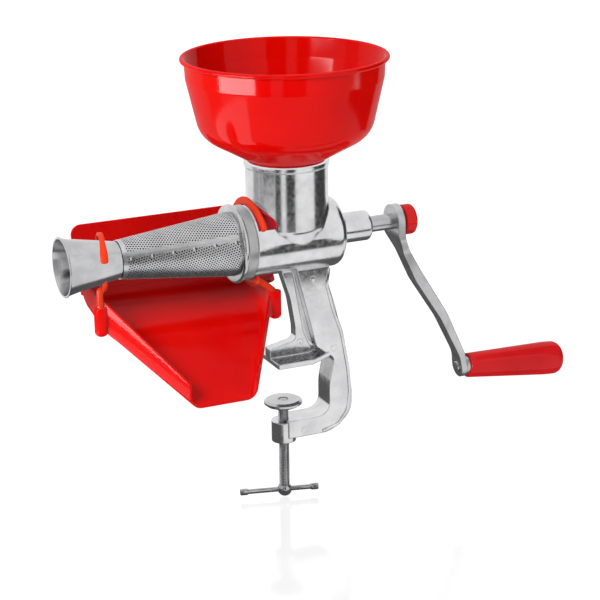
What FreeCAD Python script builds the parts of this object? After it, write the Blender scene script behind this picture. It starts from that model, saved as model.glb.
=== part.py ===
# Hand-cranked tomato strainer that clamps to a table edge: red enamelled hopper, cast body with
# a C-clamp leg, perforated cone, crank with a turning grip, and a clipped-on red tray.
# Millimetres. The origin is on the underside of the table jaw, on the clamp screw's axis.
# +X runs along the barrel towards the crank, +Z is up, and the tray's spout points to -Y.
import FreeCAD
import Part
import math
import os
import re
import Sketcher

# Driving dimensions: alias, millimetres or degrees or a count.
SIZES = [
    ("axis_height", 130),
    ("neck_offset", 8.4),
    ("fit_gap", 0.05),
    ("slip_gap", 0.35),
    # barrel, seen from the neck's axis
    ("barrel_radius", 36),
    ("barrel_bore", 31.5),
    ("barrel_front", 46.5),
    ("barrel_back", 52),
    ("barrel_round", 9),
    ("rear_wall", 12),
    ("spigot_length", 10.5),
    ("spigot_wall", 2.4),
    ("boss_radius", 15.5),
    ("boss_length", 37),
    ("boss_round", 4),
    ("bush_wall", 2.6),
    ("seal_width", 4),
    ("seal_wall", 4.6),
    # neck
    ("neck_radius", 41.4),
    ("neck_wall", 2.8),
    ("neck_top", 79),
    ("neck_taper", 13),
    ("neck_taper_round", 12),
    ("lip_proud", 1.2),
    ("lip_height", 5),
    ("throat_radius", 28),
    ("throat_height", 14),
    ("throat_top", 36),
    # leg and clamp frame, half depths along Y
    ("leg_half", 14),
    ("strut_half", 6),
    ("web_half", 2.5),
    ("leg_top", 26),
    ("leg_root", 2),
    ("leg_width", 33),
    ("knee_drop", 117),
    ("knee_reach", 24),
    ("spine_inner", 38),
    ("spine_width", 25),
    ("gap_depth", 64),
    ("arm_thick", 18.5),
    ("strut_width", 8.6),
    ("strut_foot", 12.9),
    ("rib_height", 14.5),
    ("jaw_thick", 5),
    ("jaw_half", 28),
    ("jaw_left", 16),
    ("jaw_right", 22),
    ("jaw_root", 47),
    ("screw_boss_radius", 12.5),
    ("screw_boss_top", 66),
    ("screw_boss_length", 22),
    # clamp screw, pad and bar
    ("screw_radius", 5.5),
    ("screw_gap", 0.08),
    ("pad_drop", 43),
    ("pad_radius", 19.7),
    ("pad_face_radius", 16.6),
    ("pad_thick", 6.6),
    ("pad_rim", 4),
    ("tip_radius", 3.2),
    ("tip_head_radius", 4.3),
    ("tip_head_thick", 1.2),
    ("dimple_radius", 5.2),
    ("ball_drop", 143.5),
    ("ball_radius", 7.3),
    ("bar_radius", 2.5),
    ("bar_long_side", 46.9),
    ("bar_short_side", 35.4),
    ("bar_turn", 14.6),
    ("bar_end_length", 7),
    ("bar_end_flare", 0.9),
    # hopper
    ("hopper_wall", 1.2),
    ("hopper_spigot_length", 28),
    ("hopper_seat", 80),
    ("hopper_knee_radius", 84.8),
    ("hopper_knee_height", 106),
    ("hopper_knee_round", 29),
    ("hopper_shoulder_radius", 97.5),
    ("hopper_shoulder_drop", 19),
    ("hopper_shoulder_round", 12),
    ("hopper_rim_radius", 98.4),
    ("hopper_bead_reach", 4.2),
    ("hopper_rim_height", 181),
    ("hopper_bead", 2.3),
    # screen
    ("screen_large", 32.5),
    ("screen_small", 19.1),
    ("screen_length", 120),
    ("screen_wall", 0.8),
    ("ring_radius", 39.5),
    ("ring_width", 6),
    ("collar_wall", 3.1),
    ("cup_length", 59),
    ("cup_throat", 17.5),
    ("cup_waist", 26),
    ("cup_mouth", 29.6),
    ("cup_flare", 12),
    ("cup_wall", 1.2),
    ("cup_overlap", 2.5),
    # auger and shaft
    ("auger_gap", 0.9),
    ("auger_pitch", 36),
    ("flight_thick", 4),
    ("core_back", 20),
    ("core_front", 9),
    ("auger_back", 38),
    ("auger_front", 172),
    ("washer_thick", 2),
    ("washer_radius", 19),
    ("shaft_radius", 8.2),
    ("nose_radius", 6),
    ("nose_length", 30),
    ("drive_pin_radius", 2),
    ("drive_pin_place", 24),
    ("square_side", 11),
    ("bayonet_pin_radius", 2.5),
    # crank arm, side view: how far the inner and outer faces stand from the neck's axis
    ("arm_inner", 116),
    ("eye_radius", 17.5),
    ("eye_thick", 8),
    ("arm_half", 9.5),
    ("crank_radius", 171.5),
    ("arm_outer_low", 202),
    ("low_eye_thick", 6.5),
    ("low_eye_radius", 11),
    ("grip_droop", 4.5),
    # knob and grip
    ("knob_radius", 15.6),
    ("knob_thick", 13),
    ("knob_washer_thick", 3),
    ("knob_washer_radius", 9.5),
    ("stud_radius", 4),
    ("stud_in_shaft", 20),
    ("stud_in_knob", 8),
    ("pin_radius", 4),
    ("pin_length", 104),
    ("pin_head_radius", 5.6),
    ("pin_head_thick", 2),
    ("ferrule_length", 4),
    ("ferrule_radius", 9.5),
    ("grip_length", 115),
    ("grip_start_radius", 13),
    ("grip_belly_radius", 18),
    ("grip_belly_place", 96),
    ("grip_round", 9),
    ("grip_well_radius", 8),
    ("pin_stub", 0.6),
    ("plug_length", 1.6),
    ("keeper_radius", 7.2),
    ("keeper_thick", 1.5),
    # tray
    ("tray_left", 205),
    ("tray_right", 27),
    ("tray_back", 42),
    ("tray_side_front", 18),
    ("tray_spout_front", 103),
    ("tray_spout_left", 149),
    ("tray_spout_right", 79),
    ("tray_wall", 2.2),
    ("tray_back_top", 28),
    ("tray_back_round", 9),
    ("tray_left_top", 31),
    ("tray_right_top", 47.5),
    ("tray_spout_top", 99),
    ("tray_back_flare", 9),
    ("tray_back_low", 42),
    ("tray_bend_depth", 8),
    ("tray_bend_low", 57),
    ("tray_left_low", 68),
    ("tray_right_low", 76),
    ("tray_spout_low", 125),
    ("tray_corner", 7),
    ("socket_radius", 6.5),
    ("socket_length", 29),
    ("socket_front", 22),
    ("peg_radius", 3.6),
    ("peg_length", 26),
    # clips that hang the tray
    ("cup_clip_place", 196),
    ("cup_clip_slant", 12),
    ("cup_clip_radius", 25),
    ("cup_clip_thick", 4.2),
    ("cup_clip_width", 6.8),
    ("cup_room", 23.6),
    ("neck_clip_left", 45),
    ("neck_clip_right", 26),
    ("neck_clip_thick", 9),
    ("neck_clip_channel", 2.6),
    ("neck_clip_rib", 4),
    ("clip_gap", 0.4),
    ("tray_swing", 12),
]

document = FreeCAD.newDocument("tomato_strainer")
sheet = document.addObject("Spreadsheet::Sheet", "Sizes")
for number, (alias, amount) in enumerate(SIZES, 1):
    sheet.set("A%d" % number, alias)
    sheet.set("B%d" % number, str(amount))
    sheet.setAlias("B%d" % number, alias)
document.recompute()


def bound(text):
    """An expression in which each size's name points at its cell."""
    return re.sub(r"\b([a-z]+(?:_[a-z]+)+)\b", r"Sizes.\1", text)


def value(text):
    """The expression's number today."""
    return float(sheet.evalExpression(bound(text)))


def bind(item, field, text):
    item.setExpression(field, bound(text))


def plane_of(body, role):
    return [plane for plane in body.Origin.OriginFeatures if plane.Role == role][0]


def place(item, x="0", y="0", z="0"):
    """Set an item down at expressions of the sizes."""
    for letter, text in (("x", x), ("y", y), ("z", z)):
        bind(item, "Placement.Base." + letter, text)


def on_barrel(item, x="0", y="0", z="0"):
    """Set an item down from the point where the barrel's and the neck's axes cross."""
    place(item, "neck_offset + (" + x + ")", y, "axis_height + (" + z + ")")


def constrain(sketch, kind, *rest):
    return sketch.addConstraint(Sketcher.Constraint(kind, *rest))


def hold(sketch, kind, text, *rest):
    """A dimension bound to the sizes."""
    index = constrain(sketch, kind, *rest, value(text))
    sketch.setExpression("Constraints[%d]" % index, bound(text))


def pin_point(sketch, item, end, corner):
    hold(sketch, "DistanceX", corner[0], -1, 1, item, end)
    hold(sketch, "DistanceY", corner[1], -1, 1, item, end)


def add_arc(sketch, centre, radius, first, last, left_turn):
    """Arc from first to last; returns its index and the ends that first and last became."""
    circle = Part.Circle(centre, FreeCAD.Vector(0, 0, 1), radius)
    angles = [math.atan2((end - centre).y, (end - centre).x) for end in (first, last)]
    if not left_turn:
        angles.reverse()
    item = sketch.addGeometry(Part.ArcOfCircle(circle, *angles), False)
    return (item, 1, 2) if left_turn else (item, 2, 1)


def add_outline(sketch, outline):
    """Closed outline of straight sides. A corner is (x, y) or (x, y, radius)."""
    count = len(outline)
    corners = [FreeCAD.Vector(value(corner[0]), value(corner[1]), 0) for corner in outline]
    radii = [value(corner[2]) if len(corner) > 2 else 0 for corner in outline]
    stops = []
    starts = []
    centres = []
    for i in range(count):
        back = (corners[i - 1] - corners[i]).normalize()
        on = (corners[(i + 1) % count] - corners[i]).normalize()
        half = back.getAngle(on) / 2
        stops.append(corners[i] + back * (radii[i] / math.tan(half)))
        starts.append(corners[i] + on * (radii[i] / math.tan(half)))
        centres.append(corners[i] + (back + on).normalize() * (radii[i] / math.sin(half)))
    sides = []
    for i in range(count):
        side = Part.LineSegment(starts[i], stops[(i + 1) % count])
        sides.append(sketch.addGeometry(side, False))
    for i in range(count):
        if radii[i] == 0:
            constrain(sketch, "Coincident", sides[i - 1], 2, sides[i], 1)
            pin_point(sketch, sides[i], 1, outline[i])
            continue
        turn = (corners[i] - corners[i - 1]).cross(corners[(i + 1) % count] - corners[i]).z
        arc, first, last = add_arc(sketch, centres[i], radii[i], stops[i], starts[i], turn > 0)
        tip = sketch.addGeometry(Part.Point(corners[i]), True)
        constrain(sketch, "Tangent", sides[i - 1], 2, arc, first)
        constrain(sketch, "Tangent", arc, last, sides[i], 1)
        constrain(sketch, "PointOnObject", tip, 1, sides[i - 1])
        constrain(sketch, "PointOnObject", tip, 1, sides[i])
        hold(sketch, "Radius", outline[i][2], arc)
        pin_point(sketch, tip, 1, outline[i])


def new_sketch(body, name, role, outline, lift=None):
    """Sketch on one of the body's own planes, moved along the plane's normal by lift."""
    sketch = body.newObject("Sketcher::SketchObject", name)
    sketch.AttachmentSupport = [(plane_of(body, role), "")]
    sketch.MapMode = "FlatFace"
    if lift:
        bind(sketch, "AttachmentOffset.Base.z", lift)
    add_outline(sketch, outline)
    return sketch


def new_body(label):
    body = document.addObject("PartDesign::Body", label)
    body.Label = label
    return body


def turn(body, name, axis, outline, cut=False):
    """Material, or with cut a hollow, that is round about the body's X or Z axis."""
    sketch = new_sketch(body, name + "_outline", "XZ_Plane", outline)
    kind = "PartDesign::Groove" if cut else "PartDesign::Revolution"
    feature = body.newObject(kind, name)
    feature.Profile = sketch
    feature.ReferenceAxis = (sketch, ["H_Axis" if axis == "x" else "V_Axis"])
    feature.Angle = 360
    return feature


def slab(body, name, role, outline, length, middle=False, lift=None, cut=False):
    """Prism of an outline along its plane's normal, or about the plane where middle is set."""
    sketch = new_sketch(body, name + "_outline", role, outline, lift)
    feature = body.newObject("PartDesign::Pocket" if cut else "PartDesign::Pad", name)
    feature.Profile = sketch
    bind(feature, "Length", length)
    feature.Midplane = middle
    return feature


def turned(label, axis, outline):
    body = new_body(label)
    turn(body, label + "_turned", axis, outline)
    return body


def sleeve(label, start, end, inner, outer):
    """Plain ring about the barrel's axis."""
    body = turned(label, "x", [(start, inner), (end, inner), (end, outer), (start, outer)])
    on_barrel(body)
    return body


def box_outline(left, right, low, high):
    return [(left, low), (right, low), (right, high), (left, high)]


def body_casting():
    """Neck, barrel, shaft boss, leg, table jaw and clamp arm in one casting."""
    body = new_body("body_casting")
    bore_end = "barrel_back - rear_wall"
    seal_end = bore_end + " + seal_width"
    boss_end = "barrel_back + boss_length"
    spigot_end = "-barrel_front - spigot_length"
    spigot_radius = "barrel_bore + spigot_wall"
    turn(body, "barrel", "x", [
        (spigot_end, "0"), (spigot_end, spigot_radius), ("-barrel_front", spigot_radius),
        ("-barrel_front", "barrel_radius"), ("barrel_back", "barrel_radius", "barrel_round"),
        ("barrel_back", "boss_radius"), (boss_end, "boss_radius", "boss_round"), (boss_end, "0")])
    lip = "neck_radius + lip_proud"
    turn(body, "neck", "z", [
        ("0", "0"), ("barrel_radius", "0"), ("neck_radius", "neck_taper", "neck_taper_round"),
        ("neck_radius", "neck_top - lip_height"), (lip, "neck_top - lip_height", "lip_proud * 0.8"),
        (lip, "neck_top", "lip_proud * 0.8"), ("0", "neck_top")])
    leg_parts(body)
    jaw_parts(body)
    neck_bore = "neck_radius - neck_wall"
    turn(body, "throat", "z", [
        ("0", "0"), ("throat_radius", "0"), ("throat_radius", "throat_height"),
        (neck_bore, "throat_top"), (neck_bore, "neck_top + lip_height"),
        ("0", "neck_top + lip_height")], cut=True)
    bush_radius = "shaft_radius + bush_wall + fit_gap"
    seal_radius = "shaft_radius + seal_wall"
    turn(body, "bore", "x", [
        (spigot_end + " - spigot_wall", "0"), (spigot_end + " - spigot_wall", "barrel_bore"),
        (bore_end, "barrel_bore"), (bore_end, seal_radius), (seal_end, seal_radius),
        (seal_end, bush_radius), (boss_end + " + boss_round", bush_radius),
        (boss_end + " + boss_round", "0")], cut=True)
    screw_hole(body)
    for feature, angle in (("pin_hole_top", 90), ("pin_hole_low", 270)):
        bayonet_hole(body, feature, angle)
    on_barrel(body)
    return body


def leg_parts(body):
    """Leg, spine and lower arm as one thick outline, with the thinner strut and web beside it."""
    right = "spine_inner + spine_width"
    arm_top = "axis_height + gap_depth"
    arm_low = "axis_height + gap_depth + arm_thick"
    slab(body, "leg", "XZ_Plane", [
        ("leg_root", "-leg_top"), ("leg_root + 5", "-leg_top * 1.86", "leg_half * 4"),
        ("knee_reach", "-knee_drop", "strut_half"),
        ("spine_inner + strut_half", "-axis_height - jaw_thick / 2", "strut_half"),
        ("spine_inner", "-axis_height - gap_depth / 2", "gap_depth"),
        ("spine_inner", "-(" + arm_top + ")", "leg_half"),
        ("-neck_offset", "-(" + arm_top + ")"), ("-neck_offset", "-(" + arm_low + ")"),
        (right + " - spine_width", "-(" + arm_low + ")", "spine_width"),
        (right, "-(" + arm_top + ") - 1", "spine_width"),
        (right, "-axis_height - gap_depth * 0.6", "gap_depth"),
        (right + " - 5", "-axis_height", "gap_depth"),
        ("leg_width + 12", "-leg_top * 2.9", "gap_depth"),
        ("leg_width + 4", "-leg_top * 1.9", "leg_half"),
        ("leg_width + 7", "-leg_top")], "leg_half * 2", middle=True)
    strut_right = "strut_foot"
    strut_left = "strut_foot - strut_width"
    rib_top = "-axis_height + rib_height"
    rib_low = "-axis_height + jaw_thick / 2"
    jaw_end = "-neck_offset - jaw_left"
    slab(body, "strut", "XZ_Plane", [
        ("-strut_foot", "-leg_top"), ("-strut_width * 0.07", "-leg_top * 2.5", "gap_depth"),
        (strut_left, "-leg_top * 3.7", "gap_depth / 2"),
        (strut_left, rib_top + " + strut_half", "strut_half"),
        (jaw_end, rib_top), (jaw_end, rib_low), ("knee_reach", rib_low),
        (strut_right, "-leg_top * 3.9", "gap_depth / 2"), ("0", "-leg_top")],
        "strut_half * 2", middle=True)
    slab(body, "web", "XZ_Plane", [
        ("-strut_foot / 2", "-leg_top"), (strut_left, "-leg_top * 3.7"),
        (strut_left, rib_low), ("spine_inner", rib_low), ("knee_reach", "-knee_drop + strut_half"),
        ("leg_width / 2", "-leg_top")], "web_half * 2", middle=True)


def jaw_parts(body):
    """Flat table jaw that tapers into the leg, and the boss of the clamp screw."""
    left = "-neck_offset - jaw_left"
    right = "-neck_offset + jaw_right"
    root = "-neck_offset + jaw_root"
    slab(body, "jaw", "XY_Plane", [
        (left, "-jaw_half", "web_half"), (right, "-jaw_half", "strut_half"), (root, "-leg_half"),
        (root, "leg_half"), (right, "jaw_half", "strut_half"), (left, "jaw_half", "web_half")],
        "jaw_thick", lift="-axis_height")
    sketch = body.newObject("Sketcher::SketchObject", "screw_boss_outline")
    sketch.AttachmentSupport = [(plane_of(body, "XY_Plane"), "")]
    sketch.MapMode = "FlatFace"
    bind(sketch, "AttachmentOffset.Base.z", "-axis_height - screw_boss_top - screw_boss_length")
    add_circle(sketch, "-neck_offset", "0", "screw_boss_radius")
    pad = body.newObject("PartDesign::Pad", "screw_boss")
    pad.Profile = sketch
    bind(pad, "Length", "screw_boss_length")


def add_circle(sketch, x, y, radius):
    centre = FreeCAD.Vector(value(x), value(y), 0)
    circle = Part.Circle(centre, FreeCAD.Vector(0, 0, 1), value(radius))
    item = sketch.addGeometry(circle, False)
    pin_point(sketch, item, 3, (x, y))
    hold(sketch, "Radius", radius, item)


def screw_hole(body):
    """Hole of the clamp screw, right through its boss."""
    sketch = body.newObject("Sketcher::SketchObject", "screw_hole_outline")
    sketch.AttachmentSupport = [(plane_of(body, "XY_Plane"), "")]
    sketch.MapMode = "FlatFace"
    bind(sketch, "AttachmentOffset.Base.z", "-axis_height - screw_boss_top - screw_boss_length / 2")
    add_circle(sketch, "-neck_offset", "0", "screw_radius + screw_gap")
    pocket = body.newObject("PartDesign::Pocket", "screw_hole")
    pocket.Profile = sketch
    pocket.Midplane = True
    bind(pocket, "Length", "screw_boss_length * 2")


def bayonet_hole(body, name, angle):
    """Blind hole in the front spigot for one bayonet pin."""
    sketch = body.newObject("Sketcher::SketchObject", name + "_outline")
    sketch.AttachmentSupport = [(plane_of(body, "XY_Plane"), "")]
    sketch.MapMode = "FlatFace"
    up = 1 if angle == 90 else -1
    side = "barrel_bore" if up > 0 else "-barrel_bore - spigot_wall"
    bind(sketch, "AttachmentOffset.Base.z", side)
    add_circle(sketch, "-barrel_front - spigot_length / 2", "0", "bayonet_pin_radius")
    pocket = body.newObject("PartDesign::Pocket", name)
    pocket.Profile = sketch
    pocket.Reversed = True
    bind(pocket, "Length", "spigot_wall")


def bayonet_pins():
    """Two short steel pins that stand in the spigot and catch the screen's collar."""
    pins = []
    for name, sign in (("pin_top", 1), ("pin_low", -1)):
        pin = document.addObject("Part::Cylinder", name)
        bind(pin, "Radius", "bayonet_pin_radius - fit_gap")
        bind(pin, "Height", "spigot_wall + slip_gap / 2")
        low = "barrel_bore" if sign > 0 else "-barrel_bore - spigot_wall - slip_gap / 2"
        on_barrel(pin, "-barrel_front - spigot_length / 2", "0", low)
        pins.append(pin)
    group = document.addObject("Part::Compound", "bayonet_pins")
    group.Links = pins
    return group


def bearing_parts():
    """Bush, seal and thrust washer that carry the shaft in the body."""
    wall_face = "barrel_back - rear_wall"
    bush = sleeve("rear_bush", wall_face + " + seal_width", "barrel_back + boss_length",
                  "shaft_radius + fit_gap", "shaft_radius + bush_wall")
    seal = sleeve("shaft_seal", wall_face + " + fit_gap", wall_face + " + seal_width",
                  "shaft_radius + fit_gap", "shaft_radius + seal_wall - fit_gap")
    washer = sleeve("thrust_washer", "auger_back", "auger_back + washer_thick",
                    "shaft_radius + fit_gap", "washer_radius")
    return [bush, seal, washer]


def drive_shaft():
    """Steel shaft: pinned nose in the auger, plain journal, square end in the crank arm."""
    body = new_body("drive_shaft")
    nose_start = "auger_back - nose_length"
    end = "arm_inner + eye_thick - fit_gap"
    turn(body, "journal", "x", [
        (nose_start, "0"), (nose_start, "nose_radius - fit_gap"),
        ("auger_back", "nose_radius - fit_gap"), ("auger_back", "shaft_radius"),
        ("arm_inner", "shaft_radius"), ("arm_inner", "0")])
    side = "square_side / 2"
    slab(body, "square_end", "YZ_Plane", box_outline("-" + side, side, "-" + side, side),
         "eye_thick - fit_gap", lift="arm_inner")
    turn(body, "stud_hole", "x", box_outline(
        "arm_inner - stud_in_shaft", end + " + eye_thick", "0", "stud_radius + fit_gap"), cut=True)
    slab_hole(body, "cross_hole", "drive_pin_place", "drive_pin_radius + fit_gap",
              "shaft_radius * 2")
    on_barrel(body)
    return body


def slab_hole(body, name, x, radius, length):
    """Round hole along Z through a piece that lies on the X axis."""
    sketch = body.newObject("Sketcher::SketchObject", name + "_outline")
    sketch.AttachmentSupport = [(plane_of(body, "XY_Plane"), "")]
    sketch.MapMode = "FlatFace"
    add_circle(sketch, x, "0", radius)
    pocket = body.newObject("PartDesign::Pocket", name)
    pocket.Profile = sketch
    pocket.Midplane = True
    bind(pocket, "Length", length)


def drive_pin():
    pin = document.addObject("Part::Cylinder", "drive_pin")
    bind(pin, "Radius", "drive_pin_radius")
    bind(pin, "Height", "core_back * 1.7")
    on_barrel(pin, "drive_pin_place", "0", "-core_back * 0.85")
    return pin


def flight_radius(x):
    """Outer radius of the auger's flight at x: straight in the barrel, tapered in the cone."""
    cone_start = -value("barrel_front + spigot_length + ring_width / 2")
    large = value("screen_large - screen_wall - auger_gap")
    slope = value("(screen_large - screen_small) / screen_length")
    straight = value("barrel_bore - auger_gap")
    return min(straight, large + slope * (x - cone_start))


def auger():
    """Tapered core with one long screw flight."""
    back = value("auger_back")
    front = -value("auger_front")
    core_back = value("core_back")
    core_front = value("core_front")
    pitch = value("auger_pitch")
    thick = value("flight_thick")
    core_slope = (core_back - core_front) / (back - front)
    sunk = value("bayonet_pin_radius")
    steps_per_turn = 12
    count = int((back - front - 2 * thick) / pitch * steps_per_turn)
    wires = []
    for step in range(count + 1):
        x = front + thick + step * pitch / steps_per_turn
        angle = 2 * math.pi * step / steps_per_turn
        low = core_front + core_slope * (x - front) - sunk
        corners = []
        for along, radius in ((-thick / 2, low), (thick / 2, low),
                              (thick / 4, flight_radius(x)), (-thick / 4, flight_radius(x))):
            corners.append(FreeCAD.Vector(x + along, radius * math.cos(angle),
                                          radius * math.sin(angle)))
        wires.append(Part.makePolygon(corners + corners[:1]))
    flight = Part.makeLoft(wires, True, True)
    axis = FreeCAD.Vector(1, 0, 0)
    start = FreeCAD.Vector(front, 0, 0)
    core = Part.makeCone(core_front, core_back, back - front, start, axis)
    bore = Part.makeCylinder(value("nose_radius"), value("nose_length"),
                             FreeCAD.Vector(back - value("nose_length"), 0, 0), axis)
    pin_hole = Part.makeCylinder(value("drive_pin_radius + fit_gap"), 2 * core_back,
                                 FreeCAD.Vector(value("drive_pin_place"), 0, -core_back))
    item = document.addObject("Part::Feature", "auger")
    item.Shape = core.fuse(flight).cut(bore.fuse(pin_hole)).removeSplitter()
    item.Placement.Base = FreeCAD.Vector(value("neck_offset"), 0, value("axis_height"))
    return item


def hopper_bowl():
    """Spun bowl with a rolled rim, and a short spigot that sits in the neck."""
    spigot = "neck_radius - neck_wall - slip_gap"
    inner = spigot + " - hopper_wall"
    rim_low = "hopper_rim_height - hopper_bead"
    rim_high = "hopper_rim_height + hopper_bead"
    rim_round = "hopper_bead * 0.6"
    rim_outer = "hopper_rim_radius + hopper_bead_reach"
    shoulder = "hopper_rim_height - hopper_shoulder_drop"
    body = turned("hopper_bowl", "z", [
        (inner, "hopper_seat - hopper_spigot_length"),
        (spigot, "hopper_seat - hopper_spigot_length"),
        (spigot, "hopper_seat", "lip_height / 2"),
        ("hopper_knee_radius", "hopper_knee_height", "hopper_knee_round"),
        ("hopper_shoulder_radius", shoulder, "hopper_shoulder_round"),
        ("hopper_rim_radius", rim_low), (rim_outer, rim_low, rim_round),
        (rim_outer, rim_high, rim_round),
        ("hopper_rim_radius - hopper_wall", rim_high, rim_round),
        ("hopper_shoulder_radius - hopper_wall", shoulder, "hopper_shoulder_round"),
        ("hopper_knee_radius - hopper_wall", "hopper_knee_height + hopper_wall",
         "hopper_knee_round - hopper_wall"),
        (inner, "hopper_seat + hopper_wall", "lip_height / 2 + hopper_wall")])
    on_barrel(body)
    return body


def screen_parts():
    """Perforated cone, its rolled ring and collar, and the waste cup at its small end."""
    ring_left = "-barrel_front - spigot_length - ring_width"
    ring_right = "-barrel_front - spigot_length"
    large_end = ring_right + " - ring_width / 2"
    small_end = large_end + " - screen_length"
    cone = turned("screen_cone", "x", [
        (small_end, "screen_small - screen_wall"), (large_end, "screen_large - screen_wall"),
        (large_end, "screen_large"), (small_end, "screen_small")])
    slope = "(screen_large - screen_small) / screen_length"
    inside = "screen_large + fit_gap - " + slope + " * ring_width / 2"
    ring = turned("screen_ring", "x", [
        (ring_left, inside), (large_end, "screen_large + fit_gap"),
        (large_end, "barrel_bore + fit_gap"), (ring_right + " - fit_gap", "barrel_bore + fit_gap"),
        (ring_right + " - fit_gap", "ring_radius", "ring_width / 2.4"),
        (ring_left, "ring_radius", "ring_width / 2.4")])
    collar_bore = "barrel_bore + spigot_wall + slip_gap"
    collar = sleeve("screen_collar", ring_right, "-barrel_front - fit_gap * 4", collar_bore,
                    collar_bore + " + collar_wall")
    cup_start = small_end + " + cup_overlap"
    mouth = cup_start + " - cup_length"
    flare = mouth + " + cup_flare"
    cup = turned("waste_cup", "x", [
        (cup_start, "cup_throat - cup_wall"), (cup_start, "cup_throat"),
        (flare, "cup_waist", "cup_flare * 2"), (mouth + " + cup_wall", "cup_mouth - cup_wall"),
        (mouth + " + cup_wall", "cup_mouth"), (mouth, "cup_mouth"),
        (mouth, "cup_mouth - cup_wall * 2"),
        (flare, "cup_waist - cup_wall", "cup_flare * 2 + cup_wall")])
    for item in (cone, ring, cup):
        on_barrel(item)
    return [cone, ring, collar, cup]


def eye_cut(name, radius, start, end):
    """Round cut through the arm's lower eye, along the tilted axis of the grip's pin."""
    tool = document.addObject("Part::Cylinder", name)
    bind(tool, "Radius", radius)
    bind(tool, "Height", end + " - (" + start + ")")
    tilt = FreeCAD.Rotation(FreeCAD.Vector(0, 1, 0), 90 + value("grip_droop"))
    eye = FreeCAD.Vector(value("arm_outer_low"), 0, -value("crank_radius"))
    tool.Placement = FreeCAD.Placement(eye + tilt.multVec(FreeCAD.Vector(0, 0, value(start))), tilt)
    return tool


def crank_arm():
    """Dog-leg arm: its side view and its front view, each as a slab, cross in one shape."""
    side = new_body("arm_side_view")
    outer = "arm_inner + eye_thick"
    low_inner = "arm_outer_low - low_eye_thick"
    low_end = "-crank_radius - low_eye_radius"
    slab(side, "side_slab", "XZ_Plane", [
        ("arm_inner", "eye_radius"), ("arm_inner", "-12", "20"),
        ("arm_inner + 25", "-66", "60"), ("arm_inner + 55", "-112", "80"),
        (low_inner + " - 2", "-157", "30"), (low_inner + " + 1.3", low_end),
        ("arm_outer_low + 1.3", low_end), ("arm_outer_low - 2", "-155", "30"),
        (outer + " + 54", "-106", "80"), (outer + " + 23", "-56", "60"),
        (outer, "-knob_washer_radius - 6", "20"), (outer, "eye_radius")], "eye_radius * 2", middle=True)
    front = new_body("arm_front_view")
    high = "eye_radius"
    half = [
        ("eye_radius", high, "eye_radius * 0.97"), ("eye_radius", "-eye_radius", "12"),
        ("arm_half", "-32", "14"), ("arm_half * 0.9", "-150", "10"),
        ("low_eye_radius", "-crank_radius + 4", "6"),
        ("low_eye_radius", low_end, "low_eye_radius * 0.97")]
    mirrored = [("-(" + x + ")", z, radius) for x, z, radius in reversed(half)]
    slab(front, "front_slab", "YZ_Plane", half + mirrored, "arm_outer_low * 2", middle=True)
    blank = document.addObject("Part::Common", "arm_blank")
    blank.Base = side
    blank.Tool = front
    square = document.addObject("Part::Box", "arm_square")
    bind(square, "Length", "eye_thick * 2")
    bind(square, "Width", "square_side + fit_gap * 2")
    bind(square, "Height", "square_side + fit_gap * 2")
    place(square, "arm_inner - eye_thick / 2", "-square_side / 2 - fit_gap",
          "-square_side / 2 - fit_gap")
    hole = eye_cut("arm_pin_hole", "pin_radius + fit_gap", "-low_eye_thick * 2",
                   "low_eye_thick * 2")
    head_seat = eye_cut("arm_head_seat", "pin_head_radius + slip_gap", "-low_eye_thick * 2",
                        "-low_eye_thick - fit_gap * 4")
    ferrule_seat = eye_cut("arm_ferrule_seat", "ferrule_radius + slip_gap", "fit_gap * 6",
                           "low_eye_thick")
    cuts = document.addObject("Part::MultiFuse", "arm_holes")
    cuts.Shapes = [square, hole, head_seat, ferrule_seat]
    arm = document.addObject("Part::Cut", "crank_arm")
    arm.Base = blank
    arm.Tool = cuts
    on_barrel(arm)
    return arm


def knob_parts():
    """Washer, red knob and its steel stud at the end of the shaft."""
    face = "arm_inner + eye_thick"
    knob_start = face + " + knob_washer_thick"
    washer = sleeve("knob_washer", face, knob_start, "stud_radius + fit_gap * 2",
                    "knob_washer_radius")
    stud = sleeve("knob_stud", "arm_inner - stud_in_shaft + fit_gap",
                  knob_start + " + stud_in_knob", "0", "stud_radius")
    end = knob_start + " + knob_thick"
    well = knob_start + " + stud_in_knob"
    knob = turned("crank_knob", "x", [
        (knob_start, "stud_radius + fit_gap"), (well, "stud_radius + fit_gap"), (well, "0"),
        (end, "0"), (end, "knob_radius", "knob_thick / 4"),
        (knob_start, "knob_radius", "knob_thick / 8")])
    on_barrel(knob)
    return [washer, stud, knob]


def on_grip(item):
    """Set an item down on the grip's axis, which starts at the lower eye's outer face."""
    origin = FreeCAD.Vector(value("neck_offset + arm_outer_low"), 0,
                            value("axis_height - crank_radius"))
    tilt = FreeCAD.Rotation(FreeCAD.Vector(0, 1, 0), value("grip_droop"))
    item.Placement = FreeCAD.Placement(origin, tilt)


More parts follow.
